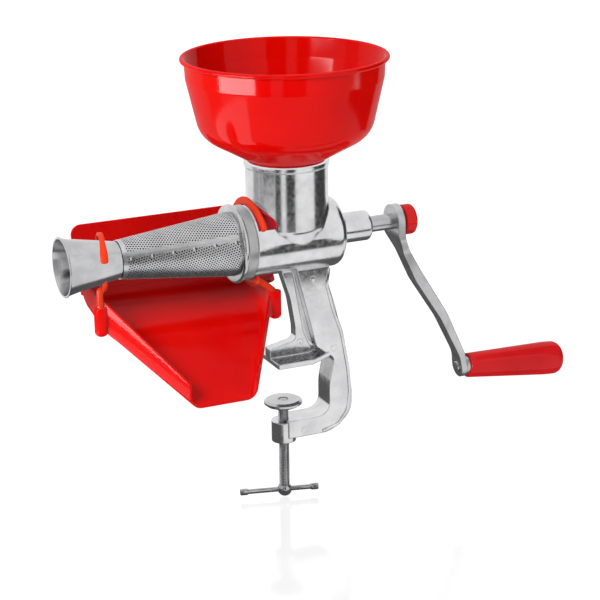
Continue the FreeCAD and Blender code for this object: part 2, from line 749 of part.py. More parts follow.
def grip_parts():
    """Riveted pin, ferrule, keeper, and the red grip that turns on the pin."""
    head = "-low_eye_thick - fit_gap * 6"
    pin = turned("handle_pin", "x", [
        (head + " - pin_head_thick", "0"),
        (head + " - pin_head_thick", "pin_head_radius", "pin_head_thick * 0.7"),
        (head, "pin_head_radius"), (head, "pin_radius"), ("pin_length", "pin_radius"),
        ("pin_length", "0")])
    ferrule_start = "fit_gap * 10"
    grip_start = ferrule_start + " + ferrule_length"
    bore = "pin_radius + fit_gap * 1.6"
    ferrule = turned("handle_ferrule", "x", [
        (ferrule_start, bore), (grip_start, bore),
        (grip_start, "ferrule_radius"), (ferrule_start, "ferrule_radius", "ferrule_length / 4")])
    end = grip_start + " + grip_length"
    well = "pin_length - pin_stub"
    grip = turned("handle_grip", "x", [
        (grip_start + " + fit_gap", bore), (well, bore), (well, "grip_well_radius"),
        (end, "grip_well_radius"), (end, "grip_belly_radius - fit_gap * 8", "grip_round"),
        (grip_start + " + grip_belly_place", "grip_belly_radius", "grip_length"),
        (grip_start + " + fit_gap", "grip_start_radius", "ferrule_length / 4")])
    keeper = turned("pin_keeper", "x", box_outline(
        well + " + fit_gap * 2", well + " + fit_gap * 2 + keeper_thick",
        "pin_radius + fit_gap", "keeper_radius"))
    plug = turned("grip_plug", "x", box_outline(
        end + " - plug_length", end, "0", "grip_well_radius - fit_gap"))
    items = [pin, ferrule, grip, keeper, plug]
    for item in items:
        on_grip(item)
    return items


def clamp_parts():
    """Clamp pad, screw with a ball end, and the sliding bar through the ball."""
    pad = turned("clamp_pad", "z", [
        ("tip_radius + fit_gap", "-pad_drop - pad_thick"),
        ("pad_face_radius", "-pad_drop - pad_thick", "web_half"),
        ("pad_radius", "-pad_drop - pad_rim"), ("pad_radius", "-pad_drop - pad_rim / 2"),
        ("pad_face_radius", "-pad_drop"), ("dimple_radius", "-pad_drop"),
        ("dimple_radius", "-pad_drop - tip_head_thick - slip_gap"),
        ("tip_radius + fit_gap", "-pad_drop - tip_head_thick - slip_gap")])
    neck = "-pad_drop - pad_thick - fit_gap * 2"
    head_low = "-pad_drop - tip_head_thick - slip_gap + fit_gap"
    head_high = "-pad_drop - slip_gap + fit_gap"
    screw = new_body("clamp_screw")
    turn(screw, "rod", "z", [
        ("0", "-ball_drop"), ("screw_radius", "-ball_drop"), ("screw_radius", neck),
        ("tip_radius", neck), ("tip_radius", head_low), ("tip_head_radius", head_low),
        ("tip_head_radius", head_high), ("0", head_high)])
    turn(screw, "ball", "z", [
        ("0", "-ball_drop - ball_radius"),
        ("ball_radius", "-ball_drop - ball_radius", "ball_radius * 0.96"),
        ("ball_radius", "-ball_drop + ball_radius", "ball_radius * 0.96"),
        ("0", "-ball_drop + ball_radius")])
    rod = document.addObject("Part::Cylinder", "bar_hole")
    bind(rod, "Radius", "bar_radius + screw_gap")
    bind(rod, "Height", "ball_radius * 4")
    aim = FreeCAD.Rotation(FreeCAD.Vector(0, 0, 1), -value("bar_turn"))
    lie = aim.multiply(FreeCAD.Rotation(FreeCAD.Vector(0, 1, 0), 90))
    middle = FreeCAD.Vector(0, 0, -value("ball_drop"))
    rod.Placement = FreeCAD.Placement(
        middle + lie.multVec(FreeCAD.Vector(0, 0, -2 * value("ball_radius"))), lie)
    drilled = document.addObject("Part::Cut", "drilled_screw")
    screw.Label = "screw_blank"
    drilled.Base = screw
    drilled.Tool = rod
    drilled.Label = "clamp_screw"
    left_flat = "-bar_long_side + bar_end_length"
    right_flat = "bar_short_side - bar_end_length"
    wide = "bar_radius + bar_end_flare"
    bar = turned("tommy_bar", "x", [
        ("-bar_long_side", "0"), ("-bar_long_side", wide, "bar_end_flare"), (left_flat, wide),
        (left_flat + " + bar_end_flare * 2", "bar_radius"),
        (right_flat + " - bar_end_flare * 2", "bar_radius"), (right_flat, wide),
        ("bar_short_side", wide, "bar_end_flare"), ("bar_short_side", "0")])
    bar.Placement = FreeCAD.Placement(middle, aim)
    return [pad, drilled, bar]


def tray_section(y, sides, tops, lows, inset):
    """Cross-section of the tray's scoop at y: a U closed at the top, with eased lower corners."""
    left = sides[0] + inset
    right = sides[1] - inset
    ease = value("tray_corner") - inset
    corners = [(left, tops[0]), (left, lows[0] + inset + ease), (left + ease, lows[0] + inset),
               (right - ease, lows[1] + inset), (right, lows[1] + inset + ease),
               (right, tops[1])]
    points = [FreeCAD.Vector(x, y, z) for x, z in corners]
    return Part.makePolygon(points + points[:1])


def beyond(last, before, share):
    """The pair that a straight line through two pairs reaches past the last one."""
    return tuple(a + share * (a - b) for a, b in zip(last, before))


def tray_scoop(inset, raised):
    """Solid scoop from the back wall to the spout; inset and raised give its hollow."""
    lean = value("tray_right_low - tray_left_low")
    bend_low = -value("tray_bend_low")
    back_low = -value("tray_back_low")
    left_top = raised - value("tray_left_top")
    places = [value("tray_back") - inset, value("tray_back - tray_bend_depth") - inset / 2,
              -value("tray_side_front"), -value("tray_spout_front")]
    wide = (-value("tray_left"), -value("tray_right"))
    sides = [wide, wide, wide, (-value("tray_spout_left"), -value("tray_spout_right"))]
    tops = [(left_top, left_top), (left_top, left_top), (left_top, raised - value("tray_right_top")),
            (raised - value("tray_spout_top"), raised - value("tray_spout_top"))]
    lows = [(back_low, back_low), (bend_low, bend_low - lean),
            (-value("tray_left_low"), -value("tray_right_low")),
            (-value("tray_spout_low"), -value("tray_spout_low"))]
    if inset:
        share = 2 * inset / (places[2] - places[3])
        places.append(places[3] - 2 * inset)
        for pairs in (sides, tops, lows):
            pairs.append(beyond(pairs[3], pairs[2], share))
    wires = [tray_section(y, side, top, low, inset)
             for y, side, top, low in zip(places, sides, tops, lows)]
    return Part.makeLoft(wires, True, True)


def socket_places():
    """Left and right sockets: x, y and the height of the rim."""
    share = value("(socket_front - tray_side_front) / (tray_spout_front - tray_side_front)")
    outward = value("socket_radius - tray_wall")
    left = -value("tray_left") + share * value("tray_left - tray_spout_left") - outward
    right = -value("tray_right") - share * value("tray_spout_right - tray_right") + outward
    y = -value("socket_front")
    return [(left, y, -value("tray_left_top + tray_corner")), (right, y, -value("tray_right_top"))]


def tray_back_wall():
    """High wall behind the screen; its free top corners are rounded and the left end leans out."""
    wall = value("tray_wall")
    left = -value("tray_left")
    right = -value("tray_right")
    low = -value("tray_back_low")
    top = value("tray_back_top")
    y = value("tray_back") - wall
    corners = [FreeCAD.Vector(x, y, z) for x, z in (
        (left, low), (right, low), (right, top), (left - value("tray_back_flare"), top))]
    slab = Part.Face(Part.makePolygon(corners + corners[:1])).extrude(FreeCAD.Vector(0, wall, 0))
    uprights = [edge for edge in slab.Edges
                if edge.BoundBox.YLength > wall / 2 and edge.BoundBox.ZMin > top - wall / 2
                and edge.BoundBox.XLength < wall]
    return slab.makeFillet(value("tray_back_round"), uprights)


def tray():
    """Moulded scoop: high back wall behind the cone, sloping floor, open spout, two sockets."""
    wall = value("tray_wall")
    hollow = tray_scoop(wall, value("tray_back_top + tray_back_low"))
    shell = tray_scoop(0, 0).cut(hollow).fuse(tray_back_wall())
    for x, y, rim in socket_places():
        low = FreeCAD.Vector(x, y, rim - value("socket_length"))
        post = Part.makeCylinder(value("socket_radius"), value("socket_length"), low)
        shell = shell.fuse(post)
    shell = shell.cut(hollow)
    for x, y, rim in socket_places():
        depth = value("peg_length + slip_gap")
        hole = Part.makeCylinder(value("peg_radius + slip_gap / 2"), depth,
                                 FreeCAD.Vector(x, y, rim - depth))
        shell = shell.cut(hole)
    room = Part.makeCylinder(value("barrel_radius + neck_clip_thick + clip_gap * 2"),
                             value("neck_clip_left"), FreeCAD.Vector(-value("neck_clip_left"), 0, 0),
                             FreeCAD.Vector(1, 0, 0))
    reach = value("neck_clip_left") + 2 * wall
    notch_low = -value("tray_back_low") / 2
    notch = Part.makeBox(reach, 4 * wall, value("tray_back_top") - notch_low + wall,
                         FreeCAD.Vector(-reach, value("tray_back") - 2 * wall, notch_low))
    item = document.addObject("Part::Feature", "tray")
    item.Shape = shell.cut([room, notch]).removeSplitter()
    item.Placement.Base = FreeCAD.Vector(value("neck_offset"), 0, value("axis_height"))
    return item


def ring_sector(inner, outer, left, right, first, last):
    """Part of a ring about the barrel's axis; angles run from straight down towards the back."""
    start = FreeCAD.Vector(left, 0, 0)
    upright = FreeCAD.Vector(0, 0, 1)
    tube = Part.makeCylinder(outer, right - left, FreeCAD.Vector(), upright, last - first)
    spin = FreeCAD.Rotation(upright, first)
    lie = FreeCAD.Rotation(FreeCAD.Vector(0, 1, 0), 90)
    tube.Placement = FreeCAD.Placement(start, lie.multiply(spin))
    return tube.cut(Part.makeCylinder(inner, right - left, start, FreeCAD.Vector(1, 0, 0)))


def cup_clip():
    """Left clip: a slanted hook round the waste cup, with a peg that stands in its socket."""
    x, y, rim = socket_places()[0]
    inner = value("cup_clip_radius")
    outer = inner + value("cup_clip_thick")
    half = value("cup_clip_width") / 2
    middle = -value("cup_clip_place")
    hook = ring_sector(inner, outer, -half, half, -54, 262)
    slant = FreeCAD.Rotation(FreeCAD.Vector(0, 0, 1), -value("cup_clip_slant"))
    hook = hook.transformed(FreeCAD.Placement(FreeCAD.Vector(middle, 0, 0), slant).toMatrix())
    peg = Part.makeCylinder(value("peg_radius"), value("peg_length"),
                            FreeCAD.Vector(x, y, rim - value("peg_length")))
    stem_top = -value("cup_room") * math.cos(math.radians(50))
    stem_low = rim - value("peg_radius")
    stem = Part.makeCylinder(value("peg_radius - clip_gap"), stem_top - stem_low,
                             FreeCAD.Vector(x, y, stem_low))
    hollow = Part.makeCylinder(value("cup_room"), 4 * outer, FreeCAD.Vector(middle - 2 * outer, 0,
                                                                            0),
                               FreeCAD.Vector(1, 0, 0))
    item = document.addObject("Part::Feature", "tray_hook_left")
    item.Shape = hook.fuse([peg, stem]).cut(hollow).removeSplitter()
    item.Placement.Base = FreeCAD.Vector(value("neck_offset"), 0, value("axis_height"))
    return item


def neck_clip():
    """Right clip: a channel band round the barrel, clear of the neck while the tray swings."""
    x, y, rim = socket_places()[1]
    inner = value("barrel_radius + clip_gap")
    outer = value("barrel_radius + neck_clip_thick")
    floor = inner + value("neck_clip_channel - clip_gap")
    left = -value("neck_clip_left")
    right = -value("neck_clip_right")
    rib = value("neck_clip_rib")
    band = ring_sector(inner, floor, left, right, -60, 236)
    band = band.fuse([ring_sector(inner, outer, left, left + rib, -60, 236),
                      ring_sector(inner, outer, right - rib, right, -60, 236)])
    width = value("peg_radius") * 2
    foot = ring_sector(inner, outer, left, x + width / 2, -46, -22)
    peg = Part.makeCylinder(value("peg_radius"), value("peg_length + peg_radius"),
                            FreeCAD.Vector(x, y, rim - value("peg_length")))
    stem_top = -inner * math.cos(math.radians(40))
    stand = rim + value("fit_gap")
    stem = Part.makeBox(width, width, stem_top - stand,
                        FreeCAD.Vector(x - width / 2, y - width / 2, stand))
    upright = Part.makeCylinder(value("neck_radius + clip_gap"), value("neck_top"))
    along = FreeCAD.Vector(1, 0, 0)
    steps = 5
    neck = [upright.rotated(FreeCAD.Vector(), along, -value("tray_swing") * step / steps)
            for step in range(steps + 1)]
    barrel = Part.makeCylinder(inner, value("barrel_front + barrel_back"),
                               FreeCAD.Vector(-value("barrel_front"), 0, 0),
                               FreeCAD.Vector(1, 0, 0))
    item = document.addObject("Part::Feature", "tray_hook_right")
    item.Shape = band.fuse([foot, peg, stem]).cut(neck + [barrel]).removeSplitter()
    item.Placement.Base = FreeCAD.Vector(value("neck_offset"), 0, value("axis_height"))
    return item


pieces = [body_casting(), bayonet_pins(), drive_shaft(), drive_pin(), auger(), hopper_bowl(),
          crank_arm(), tray(), cup_clip(), neck_clip()]
pieces += bearing_parts() + screen_parts() + knob_parts() + grip_parts() + clamp_parts()
document.recompute()

for item in document.Objects:
    for flag in ("Invalid", "Error"):
        if flag in item.State:
            raise RuntimeError(item.Label + " is " + flag)
for piece in pieces:
    if piece.Shape.isNull() or not piece.Shape.isValid():
        raise RuntimeError(piece.Label + " has no valid shape")

os.makedirs("parts", exist_ok=True)
for piece in pieces:
    piece.Shape.exportStep("parts/" + piece.Label + ".step")
    solids = len(piece.Shape.Solids)
    print("%-18s %2d solid(s) %12.1f mm3" % (piece.Label, solids, piece.Shape.Volume))
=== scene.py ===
# Looks of the hand-cranked tomato strainer: detailed pieces, finishes, studio light and camera.
# Pieces are drawn in millimetres from the point where the barrel's and the neck's axes cross.
import math

import bmesh
import bpy
from mathutils import Matrix, Vector

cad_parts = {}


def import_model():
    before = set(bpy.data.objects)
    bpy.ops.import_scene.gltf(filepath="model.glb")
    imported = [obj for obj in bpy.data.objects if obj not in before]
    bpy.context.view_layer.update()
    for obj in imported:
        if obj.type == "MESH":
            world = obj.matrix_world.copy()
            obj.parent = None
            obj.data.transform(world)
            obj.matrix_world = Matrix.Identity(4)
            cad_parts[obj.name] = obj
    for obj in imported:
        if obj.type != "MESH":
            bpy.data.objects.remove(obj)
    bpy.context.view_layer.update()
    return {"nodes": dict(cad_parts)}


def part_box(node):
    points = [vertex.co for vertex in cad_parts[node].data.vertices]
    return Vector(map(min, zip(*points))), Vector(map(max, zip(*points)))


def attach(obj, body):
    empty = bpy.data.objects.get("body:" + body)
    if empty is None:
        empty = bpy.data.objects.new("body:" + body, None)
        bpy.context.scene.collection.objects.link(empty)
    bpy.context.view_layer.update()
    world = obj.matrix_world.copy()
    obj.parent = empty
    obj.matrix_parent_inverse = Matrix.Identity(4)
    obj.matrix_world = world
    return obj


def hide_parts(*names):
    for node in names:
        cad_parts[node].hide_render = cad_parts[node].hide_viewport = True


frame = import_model()

MM = 0.001
hopper_low, hopper_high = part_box("hopper_bowl")
bush_low, bush_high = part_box("rear_bush")
screw_low, screw_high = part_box("clamp_screw")
ORIGIN = Vector(((hopper_low.x + hopper_high.x) / 2, 0, (bush_low.z + bush_high.z) / 2))
SCREW_X = ((screw_low.x + screw_high.x) / 2 - ORIGIN.x) / MM
BALL_LOW = -281.5
RIGHT = Vector((1, 0, 0))
FRONT = Vector((0, -1, 0))
UP = Vector((0, 0, 1))


def at(x, y, z):
    """A point of the drawing, in metres in the frame."""
    return ORIGIN + Vector((x, y, z)) * MM


def share(value):
    """The value, kept between 0 and 1."""
    return min(max(value, 0), 1)


# Materials

def new_material(name):
    """A fresh material with its nodes, its links and its main shader."""
    material = bpy.data.materials.new(name)
    material.use_nodes = True
    nodes = material.node_tree.nodes
    return material, nodes, material.node_tree.links, nodes["Principled BSDF"]


def add_node(nodes, kind, **values):
    """A shader node with its properties and, by name, its inputs set."""
    node = nodes.new(kind)
    for key, value in values.items():
        if hasattr(node, key):
            setattr(node, key, value)
        else:
            node.inputs[key.replace("_", " ").title()].default_value = value
    return node


def object_noise(nodes, links, scale, detail, stretch=(1, 1, 1)):
    """Noise fixed to the object, with features about 1/scale metres wide."""
    place = nodes.new("ShaderNodeTexCoord")
    mapping = add_node(nodes, "ShaderNodeMapping", scale=stretch)
    noise = add_node(nodes, "ShaderNodeTexNoise", scale=scale, detail=detail)
    links.new(place.outputs["Object"], mapping.inputs["Vector"])
    links.new(mapping.outputs["Vector"], noise.inputs["Vector"])
    return noise.outputs["Fac"]


def spread(nodes, links, source, low, high):
    """The source's middle range as a value between low and high."""
    ramp = add_node(nodes, "ShaderNodeMapRange", from_min=0.3, from_max=0.7, to_min=low,
                    to_max=high)
    links.new(source, ramp.inputs["Value"])
    return ramp.outputs["Result"]


def tint(nodes, links, source, dark, light):
    """Colour that wanders between two tones with the source."""
    ramp = nodes.new("ShaderNodeValToRGB")
    low, high = ramp.color_ramp.elements
    low.position = 0.35
    high.position = 0.65
    low.color = (*dark, 1)
    high.color = (*light, 1)
    links.new(source, ramp.inputs["Fac"])
    return ramp.outputs["Color"]


def add_relief(nodes, links, shader, source, depth, corner=None):
    """Bump of the given depth in metres, over edges eased by a corner radius."""
    bump = add_node(nodes, "ShaderNodeBump", distance=depth)
    links.new(source, bump.inputs["Height"])
    if corner:
        bevel = add_node(nodes, "ShaderNodeBevel", samples=6, radius=corner)
        links.new(bevel.outputs["Normal"], bump.inputs["Normal"])
    links.new(bump.outputs["Normal"], shader.inputs["Normal"])


def metal(name, dark, light, rough, grain, depth, stretch=(1, 1, 1), corner=None):
    """Bare metal: two tones, uneven polish and a fine surface relief."""
    material, nodes, links, shader = new_material(name)
    shader.inputs["Metallic"].default_value = 1
    cloud = object_noise(nodes, links, scale=55, detail=4)
    fine = object_noise(nodes, links, grain, 4, stretch)
    links.new(tint(nodes, links, cloud, dark, light), shader.inputs["Base Color"])
    links.new(spread(nodes, links, fine, *rough), shader.inputs["Roughness"])
    add_relief(nodes, links, shader, fine, depth, corner)
    return material


def plastic(name, dark, light, rough, coat, grain, depth, corner=None):
    """Moulded plastic or enamel: slight colour drift, gloss coat and a faint ripple."""
    material, nodes, links, shader = new_material(name)
    cloud = object_noise(nodes, links, scale=14, detail=2)
    fine = object_noise(nodes, links, grain, 3)
    links.new(tint(nodes, links, cloud, dark, light), shader.inputs["Base Color"])
    links.new(spread(nodes, links, fine, *rough), shader.inputs["Roughness"])
    shader.inputs["Specular IOR Level"].default_value = 0
    shader.inputs["Coat Weight"].default_value = coat
    shader.inputs["Coat Roughness"].default_value = 0.1
    add_relief(nodes, links, shader, fine, depth, corner)
    return material


casting_metal = metal("polished_casting", (0.62, 0.62, 0.63), (0.74, 0.74, 0.75), (0.12, 0.24),
                      230, 0.00003, corner=0.0016)
arm_metal = metal("brushed_arm", (0.46, 0.46, 0.47), (0.60, 0.60, 0.61), (0.3, 0.42),
                  420, 0.00003, (1, 1, 0.12), corner=0.0014)
turned_metal = metal("turned_steel", (0.46, 0.46, 0.47), (0.56, 0.56, 0.57), (0.18, 0.3),
                     900, 0.00002, (6, 0.3, 0.3))
screen_metal = metal("stainless_sheet", (0.58, 0.58, 0.59), (0.68, 0.68, 0.69), (0.24, 0.34),
                     500, 0.000006, (0.4, 2, 2))
cup_metal = metal("spun_cup", (0.50, 0.50, 0.51), (0.62, 0.62, 0.63), (0.16, 0.24),
                  500, 0.000004, (4, 0.3, 0.3))
# Near-black finish for the liner inside the screen: painted shade that darkens its holes.
painted_shade_dark = plastic("cone_painted_shade", (0.018, 0.018, 0.018), (0.035, 0.035, 0.035), (0.5, 0.6),
                     0, 200, 0.00001)
collar_metal = metal("satin_collar", (0.42, 0.42, 0.42), (0.50, 0.50, 0.50), (0.30, 0.42),
                     1200, 0.00002, (0.4, 2, 2))
clamp_metal = metal("plated_clamp", (0.40, 0.40, 0.41), (0.52, 0.52, 0.53), (0.14, 0.28),
                    500, 0.00003, (1, 1, 0.3))
hopper_red = plastic("red_enamel", (0.57, 0.0, 0.0), (0.64, 0.002, 0.0), (0.3, 0.4),
                     0.26, 60, 0.00001)
tray_red = plastic("red_tray_plastic", (0.62, 0.0, 0.0), (0.70, 0.003, 0.001), (0.34, 0.44),
                   0.2, 60, 0.00001, corner=0.0009)
clip_red = plastic("orange_red_clip", (0.62, 0.03, 0.006), (0.74, 0.045, 0.010), (0.32, 0.42),
                   0.25, 90, 0.00001, corner=0.0007)
# Darker copy of the clip's red for its band and low rib: painted shade.
clip_red_shaded = plastic("clip_band_painted_shade", (0.30, 0.002, 0.010), (0.38, 0.004, 0.016),
                    (0.32, 0.42), 0.25, 90, 0.00001, corner=0.0007)
handle_red = plastic("red_handle_plastic", (0.52, 0.008, 0.010), (0.62, 0.012, 0.014),
                     (0.3, 0.4), 0.3, 320, 0.00002)
auger_dark = plastic("auger_plastic", (0.10, 0.10, 0.10), (0.14, 0.14, 0.14), (0.4, 0.5),
                     0.1, 200, 0.00003)
nylon_white = plastic("nylon", (0.76, 0.76, 0.72), (0.84, 0.84, 0.80), (0.3, 0.4),
                      0.1, 300, 0.00002)
seal_black = plastic("seal_rubber", (0.02, 0.02, 0.02), (0.035, 0.035, 0.035), (0.5, 0.65),
                     0, 400, 0.00003)
bush_bronze = metal("bush_bronze", (0.50, 0.34, 0.16), (0.64, 0.46, 0.24), (0.2, 0.34),
                    700, 0.00002, (6, 0.3, 0.3))
REDS = (hopper_red, tray_red, clip_red, clip_red_shaded, handle_red)
glossed = bpy.data.collections.new("glossed_pieces")


# Geometry helpers

def circle(x, y, radius, steps):
    """Evenly spaced points round (x, y)."""
    turns = [2 * math.pi * k / steps for k in range(steps)]
    return [(x + radius * math.cos(turn), y + radius * math.sin(turn)) for turn in turns]


def arc(x, y, radius, first, last, pieces=7):
    """Points round (x, y) between two turns in degrees."""
    turns = [math.radians(first + (last - first) * k / pieces) for k in range(pieces + 1)]
    return [(x + radius * math.cos(turn), y + radius * math.sin(turn)) for turn in turns]


def rounded(outline, closed=True, step=8):
    """Outline in which each corner (a, b, radius) has become an arc."""
    points = []
    count = len(outline)
    for i, corner in enumerate(outline):
        here = Vector(corner[:2])
        radius = corner[2] if len(corner) > 2 else 0
        if radius == 0 or (not closed and i in (0, count - 1)):
            points.append(here)
            continue
        back = (Vector(outline[i - 1][:2]) - here).normalized()
        on = (Vector(outline[(i + 1) % count][:2]) - here).normalized()
        half = back.angle(on) / 2
        centre = here + (back + on).normalized() * (radius / math.sin(half))
        spoke = here + back * (radius / math.tan(half)) - centre
        bend = math.pi - 2 * half
        if back.cross(on) > 0:
            bend = -bend
        pieces = max(2, math.ceil(abs(math.degrees(bend)) / step))
        for k in range(pieces + 1):
            points.append(centre + Matrix.Rotation(bend * k / pieces, 2) @ spoke)
    return points


def heading(points, i):
    """Direction in which a line of points runs at one of them."""
    return (points[min(i + 1, len(points) - 1)] - points[max(i - 1, 0)]).normalized()


def skin(rows, across, closed=False, around=True):
    """Quads between rows of points; closed joins first and last row, around each row's ends."""
    faces = []
    for i in range(rows if closed else rows - 1):
        low = i * across
        high = (i + 1) % rows * across
        for k in range(across if around else across - 1):
            side = (k + 1) % across
            faces.append((low + k, low + side, high + side, high + k))
    return faces


def capped(rows, across):
    """The skin of a bar, with both of its ends closed."""
    count = rows * across
    return skin(rows, across) + [tuple(range(across)), tuple(range(count - across, count))]


def piece_from(name, verts, faces, crease=38):
    """Mesh object from points in metres, with clean normals and smooth faces up to the crease."""
    mesh = bpy.data.meshes.new(name)
    mesh.from_pydata(verts, [], faces)
    work = bmesh.new()
    work.from_mesh(mesh)
    bmesh.ops.remove_doubles(work, verts=work.verts, dist=1e-6)
    bmesh.ops.dissolve_degenerate(work, edges=work.edges, dist=1e-7)
    bmesh.ops.recalc_face_normals(work, faces=work.faces)
    work.to_mesh(mesh)
    work.free()
    mesh.shade_smooth()
    mesh.set_sharp_from_angle(angle=math.radians(crease))
    piece = bpy.data.objects.new(name, mesh)
    bpy.context.collection.objects.link(piece)
    return piece


def dress(piece, material, body, slot, *nodes):
    """Gives a piece its finish and body, and hides the plain nodes that it stands for."""
    piece.data.materials.clear()
    piece.data.materials.append(material)
    if material in REDS:
        glossed.objects.link(piece)
        piece.visible_glossy = False
    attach(piece, body)
    if nodes:
        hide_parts(*nodes)


def join(name, *pieces):
    """One object from several."""
    verts = []
    faces = []
    for piece in pieces:
        start = len(verts)
        verts += [vertex.co.copy() for vertex in piece.data.vertices]
        faces += [[start + index for index in face.vertices] for face in piece.data.polygons]
        bpy.data.objects.remove(piece)
    return piece_from(name, verts, faces)


def revolve(name, outline, axis, steps=160, x=0, y=0, closed=True):
    """Round piece from an outline of (place along the axis, radius, corner radius)."""
    points = rounded(outline, closed)
    verts = []
    for along, radius in points:
        if axis == "x":
            verts += [at(along, *spot) for spot in circle(0, 0, radius, steps)]
        else:
            verts += [at(*spot, along) for spot in circle(x, y, radius, steps)]
    return piece_from(name, verts, skin(len(points), steps, closed))


def refined(node, material, body, slot, crease=30):
    """The node's own shape, welded, smooth-shaded and given its finish."""
    source = frame["nodes"][node].data
    verts = [vertex.co.copy() for vertex in source.vertices]
    faces = [list(face.vertices) for face in source.polygons]
    piece = piece_from(node + "_finished", verts, faces, crease)
    dress(piece, material, body, slot, node)


def sweep(name, stations, width, thick, corner):
    """Bar with a rounded section and ends; each station is (centre, across, outward, size)."""
    half_w = width / 2 - corner
    half_t = thick / 2 - corner
    section = []
    for side_w, side_t, start in ((1, 1, 0), (-1, 1, 90), (-1, -1, 180), (1, -1, 270)):
        section += arc(side_w * half_w, side_t * half_t, corner, start, start + 90, 3)
    first, last = stations[0], stations[-1]
    lead = (first[0] - stations[1][0]).normalized() * corner * 0.9
    trail = (last[0] - stations[-2][0]).normalized() * corner * 0.9
    for turn in (30, 60, 80):
        push = math.sin(math.radians(turn))
        size = math.cos(math.radians(turn))
        start = (first[0] + lead * push, first[1], first[2], first[3] * size)
        end = (last[0] + trail * push, last[1], last[2], last[3] * size)
        stations = [start] + stations + [end]
    verts = [at(*(centre + across * (u * size) + outward * (v * size)))
             for centre, across, outward, size in stations for u, v in section]
    return piece_from(name, verts, capped(len(stations), len(section)), 50)


# Hopper

HOPPER_WALL = 1.2
SPIGOT_RADIUS = 38.25
KNEE_RADIUS = 84.8
SHOULDER = (162, 97.5)


def hopper():
    """Spun bowl: thin wall, swept knee, steeper shoulder and an outward rolled rim."""
    place, radius = SHOULDER
    outside = [(52, SPIGOT_RADIUS), (80, SPIGOT_RADIUS, 2.5), (106, KNEE_RADIUS, 29),
               (place, radius, 12)]
    bead = arc(181, 100.3, 2.25, 240, -90, 22)
    inside = [(place, radius - HOPPER_WALL, 10.8), (107, KNEE_RADIUS - HOPPER_WALL, 27.8),
              (81.2, SPIGOT_RADIUS - HOPPER_WALL, 3.7), (52, SPIGOT_RADIUS - HOPPER_WALL)]
    bowl = revolve("hopper", outside + bead + inside, "z", 200)
    dress(bowl, hopper_red, "hopper", "red_enamel", "hopper_bowl")


# Casting

MARK_RADIUS = 3.9
STRIP_FACE = 13.8


def ejector_mark(x, z, y):
    """Faint round mark that the mould's ejector leaves."""
    rings = ((MARK_RADIUS, 0), (MARK_RADIUS - 0.2, 0.22), (MARK_RADIUS - 0.75, 0.22),
             (MARK_RADIUS - 1, 0.02), (0.9, 0.02), (0.6, 0.16), (0, 0.16))
    steps = 32
    verts = [at(spot[0], y - proud, spot[1])
             for radius, proud in rings for spot in circle(x, z, radius, steps)]
    return piece_from("mark", verts, skin(len(rings), steps))


def spine_flange():
    """Raised strip along the leg's outer edge, on both faces."""
    outline = [(39.5, -36), (37.2, -52, 12), (44, -80, 60), (53, -105, 60), (60, -145, 90),
               (62.2, -172, 60), (59.5, -192, 22), (48, -207, 16), (30, -211.2)]
    points = rounded(outline, closed=False, step=4)
    strips = []
    for side in (-1, 1):
        stations = []
        for i, spot in enumerate(points):
            along = heading(points, i)
            across = Vector((-along.y, 0, along.x))
            centre = Vector((spot.x, side * STRIP_FACE, spot.y)) - across * 1.2
            stations.append((centre, across, FRONT * -side, 1))
        strips.append(sweep("strip", stations, 3.6, 2.2, 0.8))
    return join("spine_flange", *strips)


def casting():
    """The cast body, with its edge strip and mould marks."""
    refined("body_casting", casting_metal, "body", "cast_aluminium")
    dress(spine_flange(), casting_metal, "body", "cast_aluminium")
    marks = [ejector_mark(20.8, -44.5, -14), ejector_mark(43.4, -121.7, -14),
             ejector_mark(9, -112, -6), ejector_mark(9.4, -205.8, -14)]
    dress(join("ejector_marks", *marks), casting_metal, "body", "cast_aluminium")


# Screen

CONE_START = -60
CONE_LENGTH = 120
CONE_LARGE = 32.5
CONE_SMALL = 19.1
HOLE_PITCH = 2.7
HOLE_RADIUS = 0.86
END_MARGIN = 2.6
SEAM_MARGIN = 0.9
SEAM_TURN = math.radians(-116)
SHEET_THICK = 0.6
WELD_FIRST = 8
WELD_STEP = 20.8
WELD_ASIDE = 4.2


def cone_radius(along):
    """The cone's radius at a distance from its large end."""
    return CONE_LARGE + (CONE_SMALL - CONE_LARGE) * along / CONE_LENGTH


def cone_point(along, turn, lift=0):
    """Point of the cone: distance from its large end, and turn from its underside."""
    radius = cone_radius(along) + lift
    return at(CONE_START - along, radius * math.sin(turn), -radius * math.cos(turn))


def perforated_sheet():
    """Flat hexagonal grid of holes rolled into the cone; each cell is a hexagon with a hole."""
    slope = math.atan((CONE_LARGE - CONE_SMALL) / CONE_LENGTH)
    apex = CONE_LARGE / math.sin(slope)
    half_span = math.pi * math.sin(slope)
    far = apex - END_MARGIN
    near = apex - CONE_LENGTH / math.cos(slope) + END_MARGIN
    row_step = HOLE_PITCH * math.sqrt(3) / 2
    verts = []
    faces = []

    def roll(u, v):
        """Point of the cone for a point of the flat sheet."""
        along = (apex - math.hypot(u, v)) * math.cos(slope)
        return cone_point(along, SEAM_TURN + math.pi + math.atan2(v, u) / math.sin(slope))

    for row in range(int((far - near * math.cos(half_span)) / row_step) + 1):
        u = far - row * row_step
        count = int(u * math.tan(half_span) / HOLE_PITCH) + 1
        for column in range(-count, count + 1):
            v = (column + (row % 2) / 2) * HOLE_PITCH
            distance = math.hypot(u, v)
            beside = distance * (half_span - abs(math.atan2(v, u)))
            if not near <= distance <= far or beside < SEAM_MARGIN:
                continue
            start = len(verts)
            verts += [roll(*spot) for spot in circle(u, v, HOLE_RADIUS, 12)]
            verts += [roll(*spot) for spot in circle(u, v, HOLE_PITCH / math.sqrt(3), 6)]
            for k in range(6):
                inner = [start + (2 * k + j) % 12 for j in range(3)]
                outer = [start + 12 + (k + 1) % 6, start + 12 + k]
                faces.append(inner + outer)
    return piece_from("screen_sheet", verts, faces, 60)


